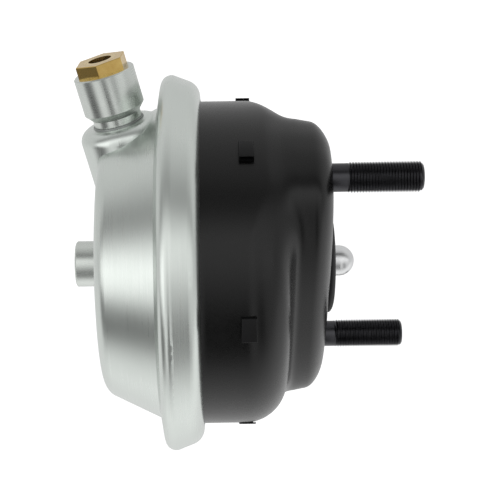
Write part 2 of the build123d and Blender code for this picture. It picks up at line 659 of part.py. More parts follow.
def vent_cap():
    """Hooded cap with its mouth to one side and a barbed stem in the housing's hole."""
    rise = VENT_HEIGHT + HOUSING_RADIUS
    back_rise = VENT_BACK_HEIGHT + HOUSING_RADIUS
    foot = HOUSING_RADIUS - CUTTER_MARGIN
    half = VENT_LENGTH / 2
    side = make_face(Polyline(
        (-half, foot), (half, foot), (half, rise - VENT_EDGE_RADIUS), (half - VENT_MOUTH_WALL, rise),
        (0, rise), (-half, back_rise), close=True,
    ))
    side_plane = Plane(origin=(VENT_X - VENT_WIDTH / 2, 0, 0), x_dir=(0, -1, 0), z_dir=(-1, 0, 0))
    hood = extrude(side_plane * side, -VENT_WIDTH)
    flanks = hood.faces().filter_by(Axis.X)
    clear_of_foot = HOUSING_RADIUS + CUTTER_MARGIN
    top_edges = [edge for face in flanks for edge in face.edges() if edge.center().Z > clear_of_foot]
    hood = fillet(top_edges, VENT_EDGE_RADIUS)
    mouth_height = VENT_HEIGHT - 2 * VENT_MOUTH_WALL
    mouth = Pos(VENT_X, -half, HOUSING_RADIUS + VENT_MOUTH_WALL) * Box(
        VENT_WIDTH - 2 * VENT_MOUTH_WALL, 2 * VENT_MOUTH_DEPTH, mouth_height,
        align=(Align.CENTER, Align.CENTER, Align.MIN),
    )
    hood = hood - mouth - ring(BARREL_BACK_X, 0, 0, HOUSING_RADIUS + FIT_GAP)
    inner = HOUSING_RADIUS - HOUSING_WALL
    stem_foot = inner - VENT_BARB_HEIGHT - VENT_BARB_GAP
    stem = Pos(VENT_X, 0, stem_foot) * Cylinder(
        VENT_STEM_RADIUS, HOUSING_RADIUS + VENT_MOUTH_WALL - stem_foot,
        align=(Align.CENTER, Align.CENTER, Align.MIN),
    )
    barb = Pos(VENT_X, 0, stem_foot) * Cone(
        VENT_STEM_RADIUS, VENT_STEM_RADIUS + VENT_BARB, VENT_BARB_HEIGHT,
        align=(Align.CENTER, Align.CENTER, Align.MIN),
    )
    return hood + stem + barb


def pieces():
    """Every piece by its name."""
    named = {
        "pressure_cover": pressure_cover(),
        "centre_stub": centre_stub(),
        "port_boss": port_boss(),
        "union_body": union_body(),
        "union_collet": union_collet(),
        "union_tube_seal": union_tube_seal(),
        "union_o_ring": union_o_ring(),
        "flange_housing": flange_housing(),
        "stud_plate": stud_plate(),
        "seal_ring": seal_ring(),
        "bellows": bellows(),
        "bellows_retainer": bellows_retainer(),
        "bellows_clamp": bellows_clamp(),
        "spring_seat": spring_seat(),
        "return_spring": return_spring(),
        "diaphragm": diaphragm(),
        "push_plate": push_plate(),
        "push_rod": push_rod(),
    }
    for number, place in enumerate(stud_places(), start=1):
        named[f"mounting_stud_{number}"] = mounting_stud(place)
    cap = vent_cap()
    for number, angle in enumerate(vent_angles(), start=1):
        named[f"vent_cap_{number}"] = at_angle(cap, angle)
    return named


for name, solid in pieces().items():
    export_step(solid, f"parts/{name}.step")
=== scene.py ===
"""Air brake chamber: finishes, threads, rubber parts, welds and studio around the fixed CAD frame."""

from __future__ import annotations

import json
import logging
import math
from dataclasses import dataclass, field
from enum import Enum
from typing import Callable, Sequence

import bmesh
import bpy
from mathutils import Matrix, Vector

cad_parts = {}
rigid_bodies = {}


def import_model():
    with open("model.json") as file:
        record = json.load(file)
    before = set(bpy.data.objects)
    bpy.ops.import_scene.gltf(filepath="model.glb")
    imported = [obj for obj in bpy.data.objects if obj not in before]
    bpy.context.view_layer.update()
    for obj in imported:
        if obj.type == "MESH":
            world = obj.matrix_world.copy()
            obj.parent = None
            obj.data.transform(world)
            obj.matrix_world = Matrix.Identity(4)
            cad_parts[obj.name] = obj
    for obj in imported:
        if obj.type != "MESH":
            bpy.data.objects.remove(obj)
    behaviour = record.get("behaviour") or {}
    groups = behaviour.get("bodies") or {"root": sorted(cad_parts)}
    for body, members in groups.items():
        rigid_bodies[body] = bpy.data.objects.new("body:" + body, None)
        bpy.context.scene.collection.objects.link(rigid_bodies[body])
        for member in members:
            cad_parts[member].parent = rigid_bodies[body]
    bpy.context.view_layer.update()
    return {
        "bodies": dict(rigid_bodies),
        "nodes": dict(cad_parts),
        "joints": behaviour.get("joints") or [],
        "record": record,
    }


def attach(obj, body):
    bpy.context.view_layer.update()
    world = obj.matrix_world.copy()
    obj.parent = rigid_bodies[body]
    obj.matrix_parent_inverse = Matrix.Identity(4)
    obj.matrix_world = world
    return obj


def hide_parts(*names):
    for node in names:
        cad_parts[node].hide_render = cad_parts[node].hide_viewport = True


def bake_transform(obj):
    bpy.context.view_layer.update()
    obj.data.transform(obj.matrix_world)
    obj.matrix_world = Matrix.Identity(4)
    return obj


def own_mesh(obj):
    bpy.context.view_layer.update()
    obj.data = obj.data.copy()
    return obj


LOG = logging.getLogger("brake_chamber")

MM = 0.001
FULL_TURN = 2 * math.pi
AXIS = Vector((1, 0, 0))

# Sizes of the chamber that more than one class needs, in millimetres and degrees.
BARREL_RADIUS = 87.8
VENT_X = -44.0
STUD_LINE = 22.5
BOSS_FOOT = (-109.9, 0.0, 80.5)
BOSS_LEAN = 14.0
STROKE = 60.0
STROKE_JOINT = "plate_slide"

# Points closer than these, in metres, are one point.
MERGE = 1e-6
FINE_MERGE = 1e-7

# Share of each side that one rounding cuts from a corner.
CORNER_CUT = 0.25

# Blender's numbers for the colour sockets of a Mix node.
MIX_A = 6
MIX_B = 7
MIX_RESULT = 2

# How crisp the finishes' two noises are, and the range that their sum mostly fills.
FINE_DETAIL = 3.0
FINE_ROUGHNESS = 0.6
BROAD_DETAIL = 4.0
BROAD_ROUGHNESS = 0.55
NOISE_LOW = 0.6
NOISE_HIGH = 1.4

# The sRGB standard's curve: a straight foot, then a power.
FOOT_END = 0.04045
FOOT_SLOPE = 12.92
CURVE_OFFSET = 0.055
CURVE_POWER = 2.4

Profile = Sequence[tuple[float, float]]


class Body(Enum):
    """The CAD bodies that the new pieces ride on."""

    CHAMBER = "chamber"
    PLATE = "plate"


class Slot(Enum):
    """The record's material slots."""

    ZINC = "zinc_plated_steel"
    BRASS = "brass"
    COLLET = "collet_brass"
    RUBBER = "rubber"
    PAINT = "black_paint"
    PHOSPHATE = "black_steel"
    PRESSED = "plain_steel"
    SPRING = "spring_steel"
    BRIGHT = "bright_steel"
    POLYAMIDE = "black_plastic"


def add(tree: bpy.types.NodeTree, kind: str, inputs: dict | None = None,
        **settings: object) -> bpy.types.Node:
    """Add one node with its settings, its values and its links.

    Args:
        tree: The node tree that gets the node.
        kind: Blender's name of the node's type.
        inputs: A value, or the output that is linked there, by the input's name or number.
        settings: Values of the node's own properties.

    Returns:
        The new node.
    """
    node = tree.nodes.new(kind)
    for name, value in settings.items():
        setattr(node, name, value)
    for socket, value in (inputs or {}).items():
        if isinstance(value, bpy.types.NodeSocket):
            tree.links.new(value, node.inputs[socket])
        else:
            node.inputs[socket].default_value = value
    return node


def linear(colour: str, alpha: float = 1.0) -> tuple[float, float, float, float]:
    """Turn an sRGB hex colour to the linear values that a node takes.

    Args:
        colour: Six hex digits, such as "c9ccca".
        alpha: The fourth value.

    Returns:
        Red, green, blue and alpha.
    """
    parts = [int(colour[place:place + 2], 16) / 255 for place in (0, 2, 4)]
    red, green, blue = (
        part / FOOT_SLOPE if part <= FOOT_END
        else ((part + CURVE_OFFSET) / (1 + CURVE_OFFSET)) ** CURVE_POWER
        for part in parts
    )
    return red, green, blue, alpha


@dataclass(frozen=True)
class Finish:
    """A surface finish: two close colours that drift into each other, and a fine texture.

    Lines turned or drawn round an axis come from noise that is short along the axis and long
    across it. Grain is the same noise with the same size each way.
    """

    name: str
    slot: Slot
    colour: str
    second_colour: str
    metallic: float
    roughness: float
    roughness_drift: float
    texture_mm: tuple[float, float, float]
    texture_depth_mm: float
    drift_mm: float = 30.0
    turn: tuple[float, float, float] = (0.0, 0.0, 0.0)
    specular: float = 0.5

    def build(self) -> bpy.types.Material:
        """Make the material's nodes.

        Returns:
            The new material.
        """
        material = bpy.data.materials.new(self.name)
        material.use_nodes = True
        tree = material.node_tree
        tree.nodes.clear()
        place = add(tree, "ShaderNodeTexCoord").outputs["Object"]
        straight = add(tree, "ShaderNodeMapping", {
            "Vector": place, "Rotation": self.turn,
        }, vector_type="TEXTURE")
        scale = [1 / (size * MM) for size in self.texture_mm]
        fine_place = add(tree, "ShaderNodeMapping", {"Vector": straight.outputs[0], "Scale": scale})
        fine = add(tree, "ShaderNodeTexNoise", {
            "Vector": fine_place.outputs[0], "Scale": 1.0, "Detail": FINE_DETAIL,
            "Roughness": FINE_ROUGHNESS,
        })
        broad = add(tree, "ShaderNodeTexNoise", {
            "Vector": place, "Scale": 1 / (self.drift_mm * MM), "Detail": BROAD_DETAIL,
            "Roughness": BROAD_ROUGHNESS,
        })
        colour = add(tree, "ShaderNodeMix", {
            "Factor": broad.outputs["Fac"], MIX_A: linear(self.colour),
            MIX_B: linear(self.second_colour),
        }, data_type="RGBA")
        mixed = add(tree, "ShaderNodeMath", {
            0: fine.outputs["Fac"], 1: broad.outputs["Fac"],
        }, operation="ADD")
        rough = add(tree, "ShaderNodeMapRange", {
            "Value": mixed.outputs[0], "From Min": NOISE_LOW, "From Max": NOISE_HIGH,
            "To Min": self.roughness - self.roughness_drift,
            "To Max": self.roughness + self.roughness_drift,
        })
        bump = add(tree, "ShaderNodeBump", {
            "Height": fine.outputs["Fac"], "Distance": self.texture_depth_mm * MM, "Strength": 1.0,
        })
        shader = add(tree, "ShaderNodeBsdfPrincipled", {
            "Base Color": colour.outputs[MIX_RESULT], "Metallic": self.metallic,
            "Roughness": rough.outputs[0], "Normal": bump.outputs[0], "Specular IOR Level": self.specular,
        })
        add(tree, "ShaderNodeOutputMaterial", {"Surface": shader.outputs[0]})
        return material


# Electroplated zinc on a spun and pressed shell: a pale grey metal with a cool cast, satin, with
# faint drawing lines round the axis.
SATIN_ZINC = Finish("satin_zinc_plate", Slot.ZINC, "d6dbd7", "ccd2cd", 1.0, 0.29, 0.05,
                    (0.35, 60.0, 60.0), 0.004, drift_mm=45.0)
# Turned zinc-plated steel: the same plate over lathe lines, so it shines a little more.
TURNED_ZINC = Finish("turned_zinc_plate", Slot.ZINC, "d2d6d2", "c6cbc6", 1.0, 0.27, 0.05,
                     (40.0, 40.0, 0.3), 0.0015, drift_mm=12.0, turn=(0.0, math.radians(-BOSS_LEAN), 0.0))
# The weld's scale under the plate is darker and rougher than the shell.
PLATED_WELD = Finish("plated_weld", Slot.ZINC, "9c9f9d", "858886", 1.0, 0.36, 0.08,
                     (0.7, 0.7, 0.7), 0.05, drift_mm=3.0)
# Free-machining brass, bright where the cutter passed and browner in its edges.
MACHINED_BRASS = Finish("machined_brass", Slot.BRASS, "dcc07a", "b8924a", 1.0, 0.2, 0.06,
                        (10.0, 10.0, 0.25), 0.004, drift_mm=5.0, turn=(0.0, math.radians(-BOSS_LEAN), 0.0))
# The collet is the same brass with a fresher, paler face.
TURNED_BRASS = Finish("turned_brass", Slot.COLLET, "e4cf94", "caa863", 1.0, 0.24, 0.06,
                      (0.3, 10.0, 10.0), 0.004, drift_mm=4.0)
# Cathodic dip paint: deep black, semi-gloss, with the slight waviness that a dip coat dries to.
DIP_PAINT = Finish("black_dip_paint", Slot.PAINT, "030303", "070707", 0.0, 0.28, 0.04,
                   (2.4, 2.4, 2.4), 0.004, drift_mm=25.0, specular=0.34)
# Black phosphate on rolled steel threads: dark grey crystals under oil, drawn coarser than the
# real ones so that they show.
BLACK_PHOSPHATE = Finish("black_phosphate", Slot.PHOSPHATE, "353537", "48484b", 0.95, 0.21, 0.05,
                         (0.25, 0.25, 0.25), 0.01, drift_mm=6.0)
# Moulded nitrile rubber: matt black with a faint bloom, its grain drawn coarser than real.
MOULDED_RUBBER = Finish("moulded_rubber", Slot.RUBBER, "0c0c0d", "151516", 0.0, 0.6, 0.06,
                        (0.5, 0.5, 0.5), 0.01, drift_mm=9.0, specular=0.35)
# Pressed and oiled strip steel inside the chamber.
PRESSED_STEEL = Finish("pressed_steel", Slot.PRESSED, "9c9c9d", "86878a", 1.0, 0.36, 0.07,
                       (0.4, 25.0, 25.0), 0.006, drift_mm=14.0)
# Oil-tempered spring wire with its blue-black scale.
SPRING_WIRE = Finish("oil_tempered_wire", Slot.SPRING, "4b4a4b", "38383c", 1.0, 0.4, 0.08,
                     (0.6, 0.6, 0.6), 0.01, drift_mm=10.0)
# Ground and polished rod, bright and nearly mirror smooth.
POLISHED_ROD = Finish("polished_rod", Slot.BRIGHT, "e4e5e5", "d8d9da", 1.0, 0.3, 0.04,
                      (0.25, 30.0, 30.0), 0.002, drift_mm=10.0)
# Moulded polyamide caps: black plastic with a spark-eroded grain, drawn coarser than real.
MOULDED_POLYAMIDE = Finish("moulded_polyamide", Slot.POLYAMIDE, "050506", "0a0a0b", 0.0, 0.5, 0.05,
                           (0.35, 0.35, 0.35), 0.012, drift_mm=6.0, specular=0.22)


@dataclass
class Wardrobe:
    """Builds each finish once and puts it on nodes and pieces."""

    made: dict[str, bpy.types.Material] = field(default_factory=dict)

    def material(self, finish: Finish) -> bpy.types.Material:
        """Look up a finish's material, which is made at its first use.

        Args:
            finish: The surface finish.

        Returns:
            Its material.
        """
        if finish.name not in self.made:
            self.made[finish.name] = finish.build()
        return self.made[finish.name]

    def dress(self, obj: bpy.types.Object, finish: Finish) -> None:
        """Put the finish in the object's material slots.

        Args:
            obj: A CAD node or a new piece.
            finish: What covers it.
        """
        if not obj.material_slots:
            obj.data.materials.append(self.material(finish))
        for holder in obj.material_slots:
            holder.material = self.material(finish)


def new_piece(name: str, mesh: bmesh.types.BMesh, smooth_angle: float = 35.0) -> bpy.types.Object:
    """Turn a finished bmesh into a shown object at the origin.

    Args:
        name: The piece's name.
        mesh: Its shape in metres, in the row frame; it is freed here.
        smooth_angle: Edges sharper than this many degrees stay sharp.

    Returns:
        The new object.
    """
    bmesh.ops.remove_doubles(mesh, verts=mesh.verts, dist=MERGE)
    bmesh.ops.recalc_face_normals(mesh, faces=mesh.faces)
    for edge in mesh.edges:
        edge.smooth = len(edge.link_faces) == 2 and edge.calc_face_angle(0.0) < math.radians(smooth_angle)
    for face in mesh.faces:
        face.smooth = True
    data = bpy.data.meshes.new(name)
    mesh.to_mesh(data)
    mesh.free()
    obj = bpy.data.objects.new(name, data)
    bpy.context.scene.collection.objects.link(obj)
    LOG.info("built %s with %d faces", name, len(data.polygons))
    return obj


def rounded(profile: Profile, times: int) -> list[tuple[float, float]]:
    """Cut the corners of an open profile again and again, so that it runs smoothly.

    Args:
        profile: Points of X and radius, of which the first and the last stay.
        times: How often the corners are cut.

    Returns:
        The smoother profile.
    """
    points = list(profile)
    kept = 1 - CORNER_CUT
    for _ in range(times):
        cut = [points[0]]
        for (x0, r0), (x1, r1) in zip(points, points[1:]):
            cut.append((kept * x0 + CORNER_CUT * x1, kept * r0 + CORNER_CUT * r1))
            cut.append((CORNER_CUT * x0 + kept * x1, CORNER_CUT * r0 + kept * r1))
        cut.append(points[-1])
        points = cut
    return points


def turned(profile: Profile, steps: int, closed: bool = True) -> bmesh.types.BMesh:
    """Spin a profile round the rod's axis.

    Args:
        profile: Points of X and radius in millimetres, in order.
        steps: How many faces go round.
        closed: The last point joins the first.

    Returns:
        The shape in metres.
    """
    mesh = bmesh.new()
    verts = [mesh.verts.new((x * MM, 0, r * MM)) for x, r in profile]
    following = verts[1:] + ([verts[0]] if closed else [])
    edges = [mesh.edges.new(pair) for pair in zip(verts, following)]
    bmesh.ops.spin(mesh, geom=verts + edges, cent=(0, 0, 0), axis=AXIS, dvec=(0, 0, 0), angle=FULL_TURN,
                   steps=steps, use_merge=True, use_duplicate=False)
    bmesh.ops.remove_doubles(mesh, verts=mesh.verts, dist=FINE_MERGE)
    return mesh


@dataclass
class MountingStuds:
    """The two M16 studs: round head, plain shank at the rolling diameter, thread and chamfer."""

    radius: float = 8.0
    pitch: float = 1.5
    thread_depth: float = 0.92
    shank_radius: float = 7.45
    shank_end: float = 8.0
    run_out: float = 2.2
    tip: float = 47.5
    chamfer: float = 1.6
    head_radius: float = 11.5
    head_from: float = -14.3
    head_to: float = -9.3
    spacing: float = 120.65
    line_angle: float = STUD_LINE
    steps: int = 48
    knurl_radius: float = 8.35
    head_edge: float = 0.5
    knurl_edge: float = 0.05
    flat_share: float = 0.125
    spare_turns: int = 2

    def tooth(self) -> list[tuple[float, float]]:
        """Draw one pitch of the thread.

        Returns:
            Flank, crest, flank and root as points of X and radius.
        """
        root = self.radius - self.thread_depth
        flat = self.pitch * self.flat_share
        flank = (self.pitch - 2 * flat) / 2
        return [(0, root), (flank, self.radius), (flank + flat, self.radius), (2 * flank + flat, root),
                (self.pitch, root)]

    def surface_limit(self, x: float, radius: float) -> float:
        """Let the run-out and the end chamfer take their share of a radius.

        Args:
            x: Place along the stud in millimetres.
            radius: Radius of the thread there.

        Returns:
            The radius that is left.
        """
        into = min(max((x - self.shank_end) / self.run_out, 0), 1)
        radius = self.shank_radius + (radius - self.shank_radius) * into
        return min(radius, self.radius - self.chamfer + (self.tip - x))

    def threaded(self) -> bmesh.types.BMesh:
        """Spin the tooth up the helix, trim it and close it with the tip.

        Returns:
            The threaded length about the X axis.
        """
        mesh = bmesh.new()
        turns = math.ceil((self.tip - self.shank_end) / self.pitch) + self.spare_turns
        start = self.shank_end - self.pitch
        verts = [mesh.verts.new(((start + x) * MM, 0, r * MM)) for x, r in self.tooth()]
        edges = [mesh.edges.new(pair) for pair in zip(verts, verts[1:])]
        step_x = self.pitch / self.steps
        bmesh.ops.spin(mesh, geom=verts + edges, cent=(0, 0, 0), axis=AXIS, dvec=(step_x * MM, 0, 0),
                       angle=FULL_TURN * turns, steps=self.steps * turns, use_merge=False,
                       use_duplicate=False)
        bmesh.ops.remove_doubles(mesh, verts=mesh.verts, dist=MERGE)
        for place, side in ((self.shank_end, -1), (self.tip, 1)):
            parts = list(mesh.verts) + list(mesh.edges) + list(mesh.faces)
            bmesh.ops.bisect_plane(mesh, geom=parts, plane_co=(place * MM, 0, 0), plane_no=(side, 0, 0),
                                   dist=FINE_MERGE, clear_outer=True)
        for vert in mesh.verts:
            radius = math.hypot(vert.co.y, vert.co.z)
            wanted = self.surface_limit(vert.co.x / MM, radius / MM) * MM
            vert.co.y *= wanted / radius
            vert.co.z *= wanted / radius
        return mesh

    def close_tip(self, mesh: bmesh.types.BMesh) -> None:
        """Fill the open ring at the stud's end with a flat disc.

        Args:
            mesh: The threaded length.
        """
        ends = [edge for edge in mesh.edges if edge.is_boundary
                and all(abs(vert.co.x - self.tip * MM) < MERGE for vert in edge.verts)]
        bmesh.ops.edgeloop_fill(mesh, edges=ends)

    def shank(self) -> bmesh.types.BMesh:
        """Turn the head and the plain shank, open where the thread starts.

        Returns:
            Head and shank about the X axis.
        """
        return turned([
            (self.head_from, 0), (self.head_from, self.head_radius - self.head_edge),
            (self.head_from + self.head_edge, self.head_radius), (self.head_to, self.head_radius),
            (self.head_to, self.knurl_radius), (0, self.knurl_radius), (self.knurl_edge, self.shank_radius),
            (self.shank_end, self.shank_radius),
        ], self.steps, closed=False)

    def build(self, wardrobe: Wardrobe) -> None:
        """Make both studs and put them in the place of the plain ones.

        Args:
            wardrobe: Gives the finish.
        """
        for number, side in enumerate((1, -1), start=1):
            mesh = self.threaded()
            self.close_tip(mesh)
            plain = self.shank()
            holder = bpy.data.meshes.new("shank_part")
            plain.to_mesh(holder)
            plain.free()
            mesh.from_mesh(holder)
            bpy.data.meshes.remove(holder)
            place = Matrix.Rotation(math.radians(self.line_angle), 4, "X")
            place = place @ Matrix.Translation((0, 0, side * self.spacing / 2 * MM))
            bmesh.ops.transform(mesh, matrix=place, verts=mesh.verts)
            stud = new_piece(f"threaded_stud_{number}", mesh, smooth_angle=50.0)
            wardrobe.dress(stud, BLACK_PHOSPHATE)
            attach(stud, Body.CHAMBER.value)
            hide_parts(f"mounting_stud_{number}")


@dataclass
class FaceSeal:
    """Rubber ring round the opening of the mounting face, with a soft rounded nose."""

    bore: float = 16.0
    outer: float = 28.4
    foot: float = 0.1
    nose: float = 4.0
    edge: float = 2.2
    bevel: float = 3.6
    lip_from: float = -5.9
    lip_to: float = -3.9
    lip_radius: float = 22.9
    waist: float = 19.9
    foot_edge: float = 0.5
    foot_rise: float = 0.3
    bore_edge: float = 1.2
    bore_drop: float = 0.9
    roundings: int = 3
    steps: int = 128

    def build(self, wardrobe: Wardrobe) -> None:
        """Spin the ring and put it in the place of the plain one.

        Args:
            wardrobe: Gives the finish.
        """
        nose = rounded([
            (self.foot, self.outer - self.foot_edge), (self.foot + self.foot_rise, self.outer),
            (self.edge, self.outer), (self.nose, self.outer - self.bevel),
            (self.nose, self.bore + self.bore_edge), (self.nose - self.bore_drop, self.bore),
        ], self.roundings)
        back = [(self.lip_from, self.bore), (self.lip_from, self.lip_radius),
                (self.lip_to, self.lip_radius), (self.lip_to, self.waist), (self.foot, self.waist)]
        ring = new_piece("face_seal", turned(nose + back, self.steps))
        wardrobe.dress(ring, MOULDED_RUBBER)
        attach(ring, Body.CHAMBER.value)
        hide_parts("seal_ring")


@dataclass
class InnerRubber:
    """Diaphragm and pleated boot, both in moulded rubber."""

    plate_joint: str = STROKE_JOINT
    stroke: float = STROKE
    front: float = -6.0
    flange_radius: float = 22.9
    flange_rear: float = -8.0
    throat: float = 18.4
    pleats_from: float = -11.2
    pleats_to: float = -102.5
    collar_to: float = -108.5
    pleats: int = 9
    pleat_depth: float = 5.0
    crest_front: float = 23.5
    crest_rear: float = 22.0
    skin: float = 2.2
    shaft: float = 14.1
    collar: float = 15.5
    collar_lap: float = 0.2
    roundings: int = 2
    steps: int = 72
    first_cut: float = -112.0
    cut_step: float = 3.4
    cuts: int = 12

    def boot_profile(self) -> list[tuple[float, float]]:
        """Draw the boot's closed outline, with rounded pleats.

        Returns:
            Points of X and radius.
        """
        outer: list[tuple[float, float]] = []
        inner: list[tuple[float, float]] = []
        steps = 2 * self.pleats
        for step in range(steps + 1):
            share = step / steps
            x = self.pleats_from + (self.pleats_to - self.pleats_from) * share
            crest = self.crest_front + (self.crest_rear - self.crest_front) * share
            radius = crest - self.pleat_depth * (1 - step % 2)
            outer.append((x, radius))
            inner.append((x, radius - self.skin))
        start = [(self.front, self.throat - self.skin), (self.front, self.flange_radius),
                 (self.flange_rear, self.flange_radius), (self.flange_rear, self.throat)]
        collar_from = self.pleats_to + self.collar_lap
        end = [(collar_from, self.collar), (self.collar_to, self.collar), (self.collar_to, self.shaft),
               (collar_from, self.shaft)]
        back = rounded(inner[::-1], self.roundings)
        return start + rounded(outer, self.roundings) + end + back

    def boot(self, wardrobe: Wardrobe) -> None:
        """Make the pleated boot and let it ride on the chamber.

        Args:
            wardrobe: Gives the finish.
        """
        piece = new_piece("pleated_boot", turned(self.boot_profile(), self.steps))
        wardrobe.dress(piece, MOULDED_RUBBER)
        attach(piece, Body.CHAMBER.value)
        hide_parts("bellows")
        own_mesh(piece)

    def disc(self, wardrobe: Wardrobe, frame: dict) -> None:
        """Copy the diaphragm's solid and cut it into rings.

        Args:
            wardrobe: Gives the finish.
        """
        mesh = bmesh.new()
        mesh.from_mesh(frame["nodes"]["diaphragm"].data)
        bmesh.ops.remove_doubles(mesh, verts=mesh.verts, dist=MERGE)
        for number in range(self.cuts):
            cut = (self.first_cut + number * self.cut_step) * MM
            parts = list(mesh.verts) + list(mesh.edges) + list(mesh.faces)
            bmesh.ops.bisect_plane(mesh, geom=parts, plane_co=(cut, 0, 0), plane_no=AXIS, dist=FINE_MERGE)
        piece = new_piece("rolling_diaphragm", mesh)
        wardrobe.dress(piece, MOULDED_RUBBER)
        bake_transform(piece)
        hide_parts("diaphragm")


@dataclass
class ReturnSpring:
    """Conical wire spring between the seat ring and the push plate."""

    seat_x: float = -28.3
    plate_x: float = -110.0
    stroke: float = STROKE
    joint: str = STROKE_JOINT

    def build(self, wardrobe: Wardrobe, frame: dict) -> None:
        """Copy the spring's solid and let it ride on the chamber.

        Args:
            wardrobe: Gives the finish.
        """
        mesh = bmesh.new()
        mesh.from_mesh(frame["nodes"]["return_spring"].data)
        bmesh.ops.remove_doubles(mesh, verts=mesh.verts, dist=MERGE)
        wire = new_piece("conical_spring", mesh)
        wardrobe.dress(wire, SPRING_WIRE)
        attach(wire, Body.CHAMBER.value)
        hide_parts("return_spring")
        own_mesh(wire)


@dataclass
class Welds:
    """Weld beads where the boss and the stub join the cover."""

    boss_foot: tuple[float, float, float] = BOSS_FOOT
    boss_lean: float = BOSS_LEAN
    boss_radius: float = 12.75
    stub_x: float = -124.5
    stub_radius: float = 12.55
    bead: float = 0.9
    ripples: int = 54
    ripple_depth: float = 0.1
    steps_per_ripple: int = 4
    bead_sides: int = 12

    def bead_ring(self, radius: float) -> bmesh.types.BMesh:
        """Spin a small half-round bead about the Z axis, with the ripples of the weld pool.

        Args:
            radius: Radius of the turned part that it joins.

        Returns:
            The bead in metres, with its foot at Z 0.
        """
        mesh = bmesh.new()
        circle = bmesh.ops.create_circle(mesh, segments=self.bead_sides, radius=self.bead * MM,
                                         cap_ends=False)
        turn = Matrix.Translation((radius * MM, 0, 0)) @ Matrix.Rotation(math.radians(90), 4, "X")
        bmesh.ops.transform(mesh, matrix=turn, verts=circle["verts"])
        bmesh.ops.spin(mesh, geom=list(mesh.verts) + list(mesh.edges), cent=(0, 0, 0), axis=(0, 0, 1),
                       dvec=(0, 0, 0), angle=FULL_TURN, steps=self.steps_per_ripple * self.ripples,
                       use_merge=True, use_duplicate=False)
        for vert in mesh.verts:
            angle = math.atan2(vert.co.y, vert.co.x)
            vert.co.z += self.ripple_depth * MM * math.sin(self.ripples * angle)
        return mesh

    def build(self, wardrobe: Wardrobe) -> None:
        """Make both beads and let them ride on the chamber.

        Args:
            wardrobe: Gives the finish.
        """
        lean = Matrix.Rotation(math.radians(-self.boss_lean), 4, "Y")
        at_boss = Matrix.Translation(Vector(self.boss_foot) * MM) @ lean
        at_stub = Matrix.Translation((self.stub_x * MM, 0, 0)) @ Matrix.Rotation(math.radians(-90), 4, "Y")
        for name, radius, place in (("boss_weld", self.boss_radius, at_boss),
                                    ("stub_weld", self.stub_radius, at_stub)):
            mesh = self.bead_ring(radius)
            bmesh.ops.transform(mesh, matrix=place, verts=mesh.verts)
            bead = new_piece(name, mesh, smooth_angle=80.0)
            wardrobe.dress(bead, PLATED_WELD)
            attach(bead, Body.CHAMBER.value)


def lathed(profile: Profile, steps: int) -> bmesh.types.BMesh:
    """Spin a closed profile round the Z axis.

    Args:
        profile: Points of radius and height in millimetres, in order.
        steps: How many faces go round.

    Returns:
        The shape in metres.
    """
    mesh = bmesh.new()
    verts = [mesh.verts.new((0, -r * MM, z * MM)) for r, z in profile]
    edges = [mesh.edges.new(pair) for pair in zip(verts, verts[1:] + [verts[0]])]
    bmesh.ops.spin(mesh, geom=verts + edges, cent=(0, 0, 0), axis=(0, 0, 1), dvec=(0, 0, 0),
                   angle=FULL_TURN, steps=steps, use_merge=True, use_duplicate=False)
    return mesh


